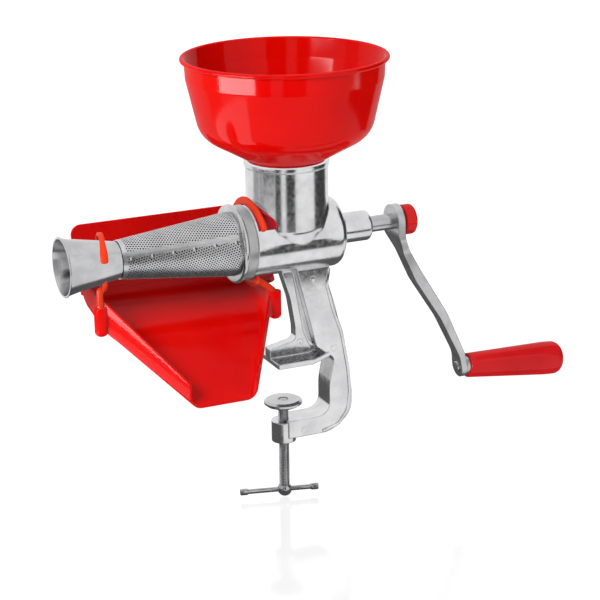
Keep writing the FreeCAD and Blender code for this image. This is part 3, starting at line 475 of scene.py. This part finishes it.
def cone_shell(name, places, radii, outer, inner):
    """Thin ring between two places of the cone, at two depths under the given radii."""
    first, last = [CONE_START - place for place in places]
    large, small = radii
    return revolve(name, [(first, large - outer), (last, small - outer),
                          (last, small - inner), (first, large - inner)], "x")


def seam_strip():
    """Overlap of the rolled sheet's two edges."""
    steps = 40
    lanes = ((-3.4, -0.12), (-0.9, -0.08), (-0.8, 0.3), (0.5, 0.4), (0.7, -0.08), (3.4, -0.12))
    verts = []
    for i in range(steps + 1):
        along = CONE_LENGTH * i / steps
        for shift, lift in lanes:
            verts.append(cone_point(along, SEAM_TURN + shift / cone_radius(along), lift))
    return piece_from("seam", verts, skin(steps + 1, len(lanes), around=False))


def spot_weld(along):
    """Small dished spot where the seam is welded."""
    rings = ((2.1, 0.42), (1.8, 0.7), (1.2, 0.62), (0, 0.3))
    steps = 20
    verts = []
    for radius, lift in rings:
        for place, shift in circle(along, WELD_ASIDE, radius, steps):
            verts.append(cone_point(place, SEAM_TURN + shift / cone_radius(along), lift))
    return piece_from("weld", verts, skin(len(rings), steps))


def screen():
    """Perforated cone with its seam, a dark liner that paints the shade behind its holes, rolled
    ring, collar and flared waste cup.
    """
    bands = []
    for places in ((0, 4.2), (CONE_LENGTH - 4.4, CONE_LENGTH)):
        radii = [cone_radius(place) for place in places]
        bands.append(cone_shell("band", places, radii, 0.05, SHEET_THICK))
    cone = join("perforated_cone", perforated_sheet(), *bands)
    dress(cone, screen_metal, "screen", "screen_steel", "screen_cone")
    # Dark shell just under the perforated sheet: painted shade, so the holes look dark.
    inside = cone_shell("cone_painted_shade", (0.5, CONE_LENGTH - 0.5), (CONE_LARGE, CONE_SMALL),
                        SHEET_THICK + 0.05, SHEET_THICK + 0.2)
    dress(inside, painted_shade_dark, "screen", "screen_steel")
    dress(seam_strip(), screen_metal, "screen", "screen_steel")
    welds = [spot_weld(WELD_FIRST + WELD_STEP * k) for k in range(6)]
    dress(join("spot_welds", *welds), cup_metal, "screen", "screen_steel")
    ring = revolve("rolled_ring", [
        (-63, 32), (-60, 32.4), (-60, 31.6), (-57.1, 31.6), (-57.1, 39.5, 2.4),
        (-63, 39.5, 2.4)], "x")
    dress(ring, cup_metal, "screen", "screen_steel", "screen_ring")
    collar = revolve("bayonet_collar", [
        (-57, 34.3), (-57, 37.3, 0.4), (-47.6, 37.3, 0.8), (-46.8, 36.6), (-46.8, 34.3)], "x")
    dress(collar, collar_metal, "screen", "collar_steel", "screen_collar")
    cup = revolve("flared_cup", [
        (-177.5, 16.3), (-177.5, 17.5, 0.3), (-224.5, 26, 24), (-235, 28.4),
        (-235.4, 29.6, 0.5), (-236.4, 29.6, 0.5), (-236.5, 27.4), (-224.5, 24.8, 25)], "x")
    dress(cup, cup_metal, "screen", "screen_steel", "waste_cup")


# Tray

TRAY_WALL = 2.2
TRAY_FRONT = -103
TRAY_BACK = 42
TRAY_CORNER = 12
TRAY_ROOM = 45.8
ARCH_BACK = 34
BEND_START = 20
SWING = 12
LEFT_PEG = (-206.7, -22)
RIGHT_PEG = (-25.1, -22)
HOOK_PLACE = -196
HOOK_RADIUS = 27
HOOK_SLANT = math.radians(-12)
NECK_ROOM = 42.2
RIB_PLACE = -43.1
RIB_RADIUS = 40.9
BAND_INNER = 36.5
BAND_OUTER = 39
BAND_LEFT = -44.6


def level(line, place):
    """Value at a place of a line of (place, value) points that run downwards in place."""
    for (start, first), (end, last) in zip(line, line[1:]):
        if place >= end:
            part = (start - place) / (start - end) if start > end else 1
            return first + (last - first) * share(part)
    return line[-1][1]


def scoop():
    """Tray's floor and side walls: one thin shell with swept corners and rounded rims."""
    left_low = rounded([(TRAY_BACK, 0), (TRAY_BACK, -55.3, 20), (-18, -68, 90),
                        (TRAY_FRONT, -125)], False, 5)[1:]
    right_low = rounded([(TRAY_BACK, 0), (TRAY_BACK, -58.3, 20), (-18, -76, 90),
                         (TRAY_FRONT, -125)], False, 5)[1:]
    left_side = rounded([(43, -205), (-18, -205, 30), (TRAY_FRONT, -149)], False, 3)
    right_side = rounded([(43, -27), (-18, -27, 30), (TRAY_FRONT, -79)], False, 3)
    left_top = rounded([(43, -31), (-18, -31, 16), (TRAY_FRONT, -99)], False, 5)
    right_top = rounded([(43, -31), (34, -31, 8), (-18, -47.5, 16), (TRAY_FRONT, -99)], False, 5)
    places = [41.99, 41.6, 40.6, 39, 37, 34.5, 31.5]
    places += list(range(28, -29, -4)) + [-33, -40, -50, -60, -70, -80, -90, -98, TRAY_FRONT]
    half = TRAY_WALL / 2
    step = 0.4
    verts = []
    for place in places:
        left = level(left_side, place)
        right = level(right_side, place)
        low_l = level(left_low, place)
        low_r = level(right_low, place)
        top_l = level(left_top, place)
        top_r = level(right_top, place)
        if -TRAY_ROOM < place < ARCH_BACK:
            top_r = min(top_r, -math.sqrt(TRAY_ROOM ** 2 - place ** 2))
        slope = level(left_low, place - step) - level(left_low, place + step)
        steep = math.hypot(slope, 2 * step)
        lean = -slope / steep if place > BEND_START else 0
        lift = TRAY_WALL * 2 * step / steep
        inner_place = max(place - TRAY_WALL * lean, TRAY_FRONT)
        reach = min(TRAY_CORNER, 0.8 * (top_l - low_l), 0.8 * (top_r - low_r))
        small = max(reach - TRAY_WALL, 1)
        outer = arc(left + reach, low_l + reach, reach, 180, 270)
        outer += arc(right - reach, low_r + reach, reach, 270, 360)
        inner = arc(right - TRAY_WALL - small, low_r + lift + small, small, 360, 270)
        inner += arc(left + TRAY_WALL + small, low_l + lift + small, small, 270, 180)
        rim_l = arc(left + half, top_l - half, half, 0, 180, 5)
        rim_r = arc(right - half, top_r - half, half, 0, 180, 5)
        verts += [at(x, place, z) for x, z in rim_l + outer + rim_r]
        verts += [at(x, inner_place, z) for x, z in inner]
    faces = capped(len(places), len(verts) // len(places))
    return piece_from("scoop", verts, faces, 50)


def back_wall():
    """High wall behind the cone, with rounded corners and its left end leaning out."""
    outline = rounded([(-205, -44), (-27.5, -44), (-27.5, -23, 2), (-49.4, -23, 2),
                       (-49.4, 28, 4), (-214, 28, 10)])
    verts = [at(x, y, z) for y in (TRAY_BACK - TRAY_WALL, TRAY_BACK) for x, z in outline]
    return piece_from("back_wall", verts, capped(2, len(outline)), 40)


def socket(peg, rim):
    """Round-bottomed socket for a clip's peg."""
    bottom = rim - 29
    inside = rim - 26.6
    return revolve("socket", [(rim, 3.85), (rim, 6.5, 0.7), (bottom, 6.5, 5), (bottom, 0),
                              (inside, 0), (inside, 3.85)], "z", 40, *peg)


def around_barrel(x, radius, turn):
    """Point and outward direction on a ring; turns, in degrees, run from below to the back."""
    outward = Vector((0, math.sin(math.radians(turn)), -math.cos(math.radians(turn))))
    return Vector((x, 0, 0)) + outward * radius, outward


def left_hook():
    """Slim slanted hook round the cup, thicker at its tip, on a stem in the left socket."""
    slant = Matrix.Rotation(HOOK_SLANT, 3, "Z")
    stations = []
    for turn in range(-52, 257, 6):
        spot, outward = around_barrel(0, HOOK_RADIUS, turn)
        swell = share((turn - 205) / 40)
        size = 0.8 + 0.34 * swell * swell * (3 - 2 * swell)
        centre = slant @ spot + RIGHT * HOOK_PLACE
        stations.append((centre, slant @ RIGHT, slant @ outward, size))
    hook = sweep("hook", stations, 6.6, 4.2, 1.9)
    stem = revolve("stem", [(-63.5, 0), (-63.5, 3.5, 1), (-40, 3.5, 0.6), (-36, 3.2, 3),
                            (-20, 3, 2.6), (-18, 0)], "z", 32, *LEFT_PEG, closed=False)
    path = ((*LEFT_PEG, -26), (-203, -21.8, -21), (-200, -21.4, -16))
    joint = sweep("joint", [(Vector(spot), UP, FRONT, 1) for spot in path], 6, 4.6, 2)
    dress(join("left_hook", hook, stem, joint), clip_red, "tray", "orange_clip",
          "tray_hook_left")


def right_edge(turn, radius):
    """How far right the right clip's band reaches, clear of the neck while the tray swings."""
    edge = -26
    for swing in range(0, SWING + 1, 3):
        y = radius * math.sin(math.radians(turn + swing))
        z = -radius * math.cos(math.radians(turn + swing))
        if z > 0 and abs(y) < NECK_ROOM:
            edge = min(edge, -math.sqrt(NECK_ROOM ** 2 - y ** 2))
    return edge


def right_clip():
    """Channel band round the barrel: a tall left rib, a low floor and a rib beside the neck."""
    tall = []
    near = []
    verts = []
    turns = range(-36, 243, 6)
    for turn in turns:
        swell = share((turn - 195) / 40)
        spot, outward = around_barrel(RIB_PLACE + 2.6 * swell, RIB_RADIUS, turn)
        tall.append((spot, RIGHT, outward, 1 + 0.1 * swell))
        right = right_edge(turn, 42)
        spot, outward = around_barrel(right - 1.3, 40.3, turn)
        near.append((spot, RIGHT, outward, 1))
        band_right = right - 0.3
        for x, radius in ((BAND_LEFT, BAND_INNER), (band_right, BAND_INNER),
                          (band_right, BAND_OUTER), (BAND_LEFT, BAND_OUTER)):
            verts.append(at(*around_barrel(x, radius, turn)[0]))
    band = piece_from("band", verts, capped(len(turns), 4), 40)
    rib = sweep("rib", tall, 4, 8.4, 1.8)
    low_rib = sweep("low_rib", near, 2.4, 7.2, 1.1)
    path = [Vector(spot) for spot in (
        (-42, -21.5, -35), (-37, -21.8, -38.5), (-32, -22, -42.5), (-27.5, -22, -46.5),
        (-25.3, -22, -52), (*RIGHT_PEG, -60))]
    bent = [(spot, heading(path, i).cross(FRONT).normalized(), FRONT, 1)
            for i, spot in enumerate(path)]
    stem = sweep("stem", bent, 6.8, 6.4, 2.8)
    peg = revolve("peg", [(-73, 0), (-73, 3.5, 1), (-50, 3.5), (-50, 0)], "z", 32, *RIGHT_PEG,
                  closed=False)
    dress(join("right_clip", rib, stem, peg), clip_red, "tray", "orange_clip",
          "tray_hook_right")
    # The band and low rib take the darker copy of the clip's red: painted shade.
    dress(join("right_clip_band", band, low_rib), clip_red_shaded, "tray", "orange_clip")


def tray():
    """Moulded scoop with its sockets, and the two clips that hang it."""
    parts = [scoop(), back_wall(), socket(LEFT_PEG, -38), socket(RIGHT_PEG, -47.5)]
    dress(join("sauce_tray", *parts), tray_red, "tray", "red_tray", "tray")
    left_hook()
    right_clip()


# Drive

def drive():
    """Shaft, crank, grip and bearings, in the shapes of their solids."""
    for node in ("drive_shaft", "drive_pin", "knob_washer", "knob_stud", "handle_pin",
                 "pin_keeper"):
        refined(node, turned_metal, "crank", "steel")
    refined("auger", auger_dark, "crank", "auger_plastic", 45)
    refined("crank_arm", arm_metal, "crank", "cast_aluminium")
    refined("handle_ferrule", arm_metal, "crank", "cast_aluminium")
    refined("crank_knob", handle_red, "crank", "red_handle")
    refined("handle_grip", handle_red, "grip", "red_handle")
    refined("grip_plug", handle_red, "grip", "red_handle")
    refined("rear_bush", bush_bronze, "body", "bronze_bush")
    refined("shaft_seal", seal_black, "body", "black_rubber")
    refined("thrust_washer", nylon_white, "body", "white_nylon")
    refined("bayonet_pins", turned_metal, "body", "steel")


# Clamp

THREAD_PITCH = 1.75
THREAD_DEPTH = 0.9
ROD_RADIUS = 5.5
ROD_LOW = -270.5
ROD_HIGH = -179.8
BALL_TOP = -268


def threaded_rod():
    """Clamp screw's rod: a helical thread that runs out under the pad."""
    steps = 40
    rows = int((ROD_HIGH - ROD_LOW) / THREAD_PITCH * 8)
    verts = []
    for i in range(rows + 1):
        z = ROD_LOW + (ROD_HIGH - ROD_LOW) * i / rows
        fade = share((ROD_HIGH - z) / 2)
        for k in range(steps):
            phase = (z / THREAD_PITCH - k / steps) % 1
            cut = share((abs(2 * phase - 1) - 0.15) / 0.7)
            radius = ROD_RADIUS - THREAD_DEPTH * (cut * fade + (1 - fade) * 0.5)
            turn = 2 * math.pi * k / steps
            verts.append(at(SCREW_X + radius * math.cos(turn), radius * math.sin(turn), z))
    return piece_from("rod", verts, capped(rows + 1, steps), 60)


def ball_end():
    """The screw's ball, from its solid."""
    source = frame["nodes"]["clamp_screw"].data
    height = at(0, 0, BALL_TOP).z
    keep = {}
    verts = []
    for vertex in source.vertices:
        if vertex.co.z < height:
            keep[vertex.index] = len(verts)
            verts.append(vertex.co.copy())
    faces = [[keep[i] for i in face.vertices] for face in source.polygons
             if all(i in keep for i in face.vertices)]
    return piece_from("ball", verts, faces, 30)


def clamp():
    """Screw with its ball and turned-down tip, the pad, and the sliding bar."""
    ball = ball_end()
    tip = revolve("tip", [(-180.5, 0), (-180.5, 3.2), (-174.55, 3.2), (-174.55, 4.3, 0.3),
                          (-173.35, 4.3, 0.4), (-173.35, 0)], "z", 40, SCREW_X, closed=False)
    dress(join("clamp_screw_finished", ball, threaded_rod(), tip), clamp_metal, "screw",
          "clamp_steel", "clamp_screw")
    refined("clamp_pad", cup_metal, "pad", "clamp_steel")
    refined("tommy_bar", clamp_metal, "bar", "clamp_steel")


# Studio

CAMERA_TURN = math.radians(24.24)
CAMERA_HEIGHT = math.radians(18.08)
CAMERA_ROLL = math.radians(0.91)
CAMERA_DISTANCE = 1938.4
CAMERA_TARGET = (12.4, 0, -69.5)
CAMERA_LENS = 114.6
SENSOR = 36
AIR = 0.5
FLOOR_HALF = 6
CARD_LOW = -275
CARD_HIGH = 900
CARD_RADIUS = 800
GLOSS_RADIUS = 1250


def from_camera(turn):
    """Level direction at a turn, in degrees, from the camera's side."""
    toward = Vector((-math.sin(CAMERA_TURN), -math.cos(CAMERA_TURN), 0))
    aside = Vector((math.cos(CAMERA_TURN), -math.sin(CAMERA_TURN), 0))
    return toward * math.cos(math.radians(turn)) + aside * math.sin(math.radians(turn))


def camera():
    """Camera at the photograph's place."""
    right = from_camera(90)
    back = from_camera(0) * math.cos(CAMERA_HEIGHT) + UP * math.sin(CAMERA_HEIGHT)
    up = back.cross(right)
    tilted_right = right * math.cos(CAMERA_ROLL) - up * math.sin(CAMERA_ROLL)
    tilted_up = right * math.sin(CAMERA_ROLL) + up * math.cos(CAMERA_ROLL)
    data = bpy.data.cameras.new("camera")
    data.lens = CAMERA_LENS
    data.sensor_width = SENSOR
    data.clip_start = 0.05
    data.clip_end = 60
    holder = bpy.data.objects.new("camera", data)
    bpy.context.collection.objects.link(holder)
    turn = Matrix((tilted_right, tilted_up, back)).transposed().to_4x4()
    place = at(*CAMERA_TARGET) + back * CAMERA_DISTANCE * MM
    holder.matrix_world = Matrix.Translation(place) @ turn
    bpy.context.scene.camera = holder


def world():
    """White surroundings for the camera and reflections, and plain soft light."""
    scene_world = bpy.data.worlds.new("studio")
    bpy.context.scene.world = scene_world
    scene_world.use_nodes = True
    nodes = scene_world.node_tree.nodes
    links = scene_world.node_tree.links
    nodes.clear()
    path = nodes.new("ShaderNodeLightPath")
    either = add_node(nodes, "ShaderNodeMath", operation="MAXIMUM")
    also = add_node(nodes, "ShaderNodeMath", operation="MAXIMUM")
    soft = nodes.new("ShaderNodeBackground")
    soft.inputs["Color"].default_value = (1, 1, 1, 1)
    soft.inputs["Strength"].default_value = 0.32
    white = nodes.new("ShaderNodeBackground")
    white.inputs["Color"].default_value = (1, 1, 1, 1)
    white.inputs["Strength"].default_value = 1
    mix = nodes.new("ShaderNodeMixShader")
    out = nodes.new("ShaderNodeOutputWorld")
    links.new(path.outputs["Is Camera Ray"], either.inputs[0])
    links.new(path.outputs["Is Glossy Ray"], either.inputs[1])
    links.new(either.outputs[0], also.inputs[0])
    links.new(path.outputs["Is Transmission Ray"], also.inputs[1])
    links.new(also.outputs[0], mix.inputs["Fac"])
    links.new(soft.outputs[0], mix.inputs[1])
    links.new(white.outputs[0], mix.inputs[2])
    links.new(mix.outputs[0], out.inputs["Surface"])


def floor():
    """Pale glossy floor just under the clamp's ball."""
    height = at(0, 0, BALL_LOW - AIR).z
    verts = [(x * FLOOR_HALF, y * FLOOR_HALF, height)
             for x, y in ((-1, -1), (1, -1), (1, 1), (-1, 1))]
    plane = piece_from("floor", verts, [(0, 1, 2, 3)])
    material, nodes, links, shader = new_material("floor_white")
    shader.inputs["Base Color"].default_value = (0.15, 0.15, 0.15, 1)
    shader.inputs["Roughness"].default_value = 0.1
    shader.inputs["Specular IOR Level"].default_value = 1
    shader.inputs["Emission Color"].default_value = (1, 1, 1, 1)
    path = nodes.new("ShaderNodeLightPath")
    glow = add_node(nodes, "ShaderNodeMapRange", to_min=0.9, to_max=0.79)
    links.new(path.outputs["Is Camera Ray"], glow.inputs["Value"])
    links.new(glow.outputs["Result"], shader.inputs["Emission Strength"])
    plane.data.materials.append(material)
    plane.visible_glossy = False


def card(name, verts, faces, shade, receivers=None):
    """Card of one brightness, seen only in reflections and, if named, only by its receivers."""
    panel = piece_from(name, verts, faces)
    material, *_, shader = new_material(name)
    shader.inputs["Base Color"].default_value = (0, 0, 0, 1)
    shader.inputs["Specular IOR Level"].default_value = 0
    shader.inputs["Emission Color"].default_value = (1, 1, 1, 1)
    shader.inputs["Emission Strength"].default_value = shade
    panel.data.materials.append(material)
    panel.visible_camera = False
    panel.visible_diffuse = False
    panel.visible_shadow = False
    panel.visible_transmission = False
    if receivers:
        panel.light_linking.receiver_collection = receivers


def bowed_card(name, turns, edges, shade, receivers=None, steps=8):
    """Card between two turns from the camera's side; its two edges are (radius, height)."""
    first, last = turns
    verts = []
    for k in range(steps + 1):
        spoke = from_camera(first + (last - first) * k / steps)
        verts += [at(spoke.x * radius, spoke.y * radius, height) for radius, height in edges]
    faces = [(2 * k, 2 * k + 2, 2 * k + 3, 2 * k + 1) for k in range(steps)]
    card(name, verts, faces, shade, receivers)


def cards():
    """Dark cards round the set for the metal's dark bands, and bright ones for the gloss."""
    upright = ((CARD_RADIUS, CARD_LOW), (CARD_RADIUS, CARD_HIGH))
    low = ((GLOSS_RADIUS, -281), (GLOSS_RADIUS, -130))
    high = ((GLOSS_RADIUS, 240), (GLOSS_RADIUS, 420))
    table = ((330, BALL_LOW - 3), (CARD_RADIUS, BALL_LOW - 3))
    bowed_card("card_left", (-31, -15), upright, 0.05)
    bowed_card("card_front", (-2, 23), upright, 0.04)
    bowed_card("card_right", (80, 130), upright, 0.05)
    bowed_card("card_far_left", (-102, -80), upright, 0.45)
    bowed_card("gloss_left", (-78, -33), low, 24, glossed)
    bowed_card("gloss_high", (-62, -33), high, 24, glossed)
    bowed_card("gloss_right", (84, 92), low, 24, glossed)
    bowed_card("gloss_table", (-100, -46), table, 4, glossed, 6)
    flag = [at(x, -140, z) for x, z in ((-20, -90), (220, -90), (220, -43), (-20, -43))]
    card("card_low", flag, [(0, 1, 2, 3)], 0.06)
    under = [at(x, y, BALL_LOW - 4)
             for x, y in ((-330, -60), (420, -60), (420, 750), (-330, 750))]
    card("card_under_table", under, [(0, 1, 2, 3)], 0.12)
    left = [at(x, y, BALL_LOW - 5)
            for x, y in ((-400, -210), (-100, -210), (-60, -60), (-400, -60))]
    card("card_under_left", left, [(0, 1, 2, 3)], 0.1)


def softbox(name, place, target, size, power):
    """Rectangular light that looks at a target."""
    data = bpy.data.lights.new(name, "AREA")
    data.shape = "RECTANGLE"
    data.size, data.size_y = size
    data.energy = power
    lamp = bpy.data.objects.new(name, data)
    bpy.context.collection.objects.link(lamp)
    lamp.location = at(*place)
    lamp.visible_glossy = False
    aim = at(*target) - lamp.location
    lamp.rotation_mode = "QUATERNION"
    lamp.rotation_quaternion = aim.to_track_quat("-Z", "Y")


def lights():
    """Key light from the left, a weak fill from the right and a soft top light."""
    softbox("key_left", (-1150, -650, 750), (0, 0, 20), (0.7, 0.5), 19)
    softbox("fill_right", (900, -700, 700), (0, 0, 20), (0.35, 0.35), 3)
    softbox("top_back", (200, 500, 1200), (0, 0, 0), (0.8, 0.8), 8)


hopper()
casting()
screen()
tray()
drive()
clamp()
camera()
world()
floor()
cards()
lights()
bpy.context.scene.view_settings.view_transform = "Standard"
